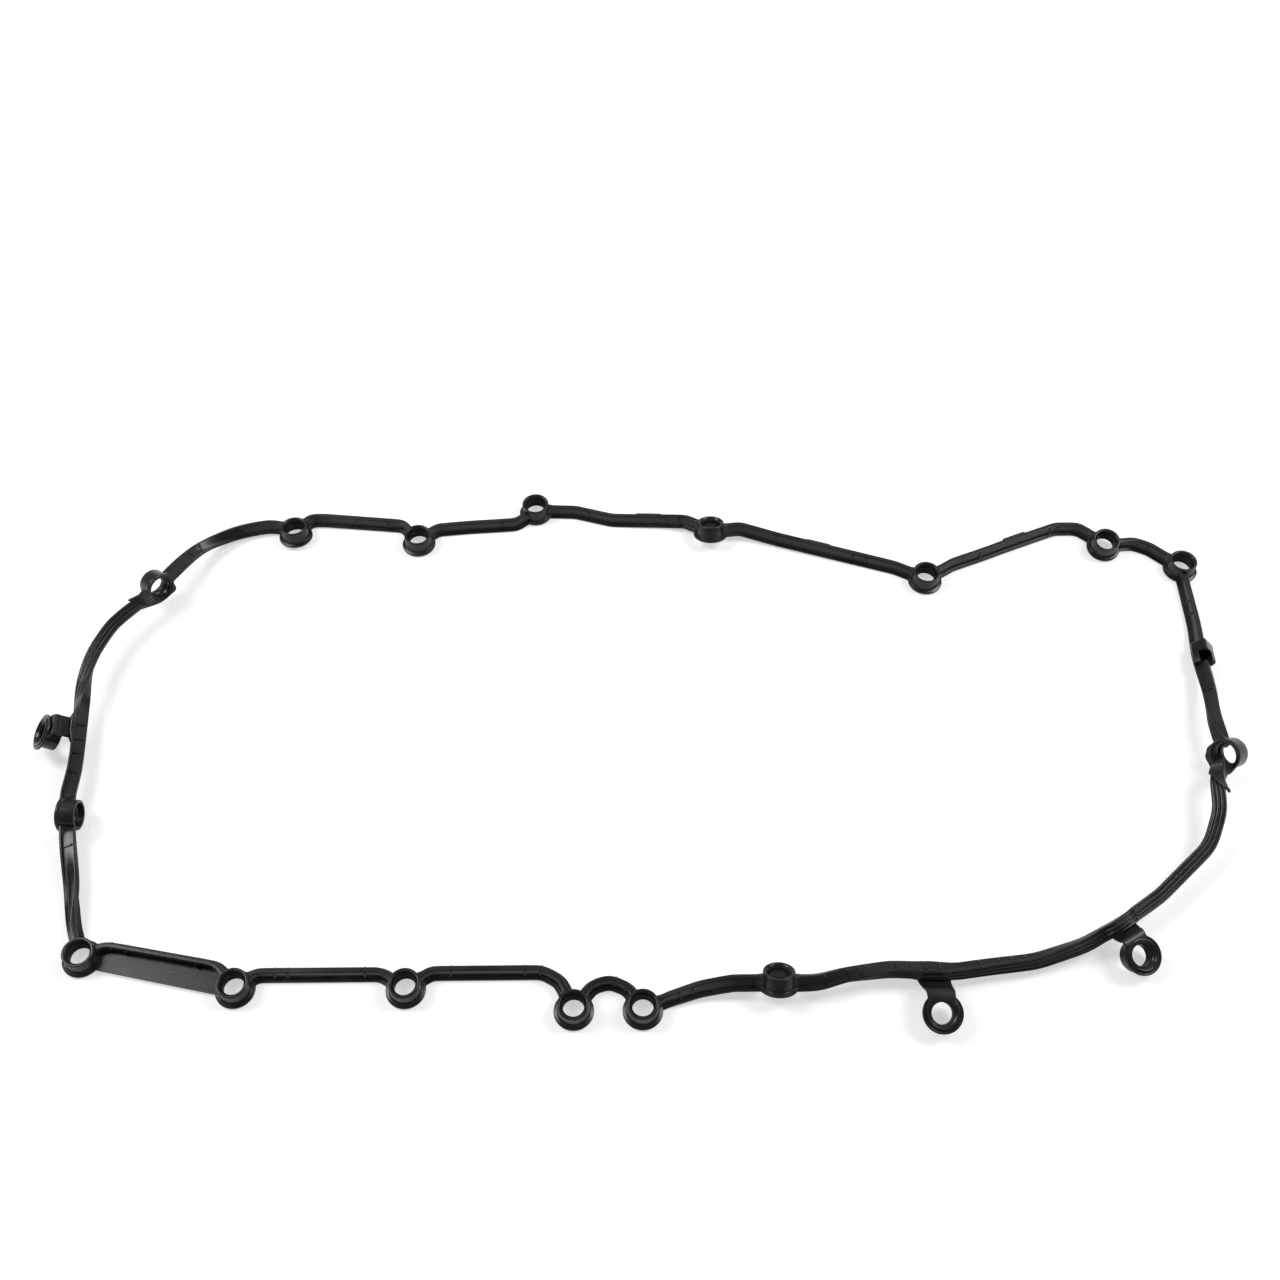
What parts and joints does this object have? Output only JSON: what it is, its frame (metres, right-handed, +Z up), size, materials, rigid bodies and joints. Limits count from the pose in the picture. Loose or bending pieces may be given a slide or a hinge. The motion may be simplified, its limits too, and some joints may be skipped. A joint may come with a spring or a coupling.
{
  "type": "oil pan gasket",
  "caption": "Moulded rubber oil pan gasket: a closed loop of ribbed sealing strip with bolt collars, side arms, corner plates and a hooded clip.",
  "frame": {"origin": "centre of the bounding box at the surface that the gasket lies on", "axes": "+X along the long rails towards the end with the clip, +Y across the loop from the rail with the web to the far rail, +Z up from the surface that it lies on"},
  "size_m": [0.607, 0.315, 0.0232],
  "materials": {
    "black_rubber": "satin"
  },
  "bodies": {
    "root": {"oil_pan_gasket": "black_rubber"}
  },
  "joints": []
}
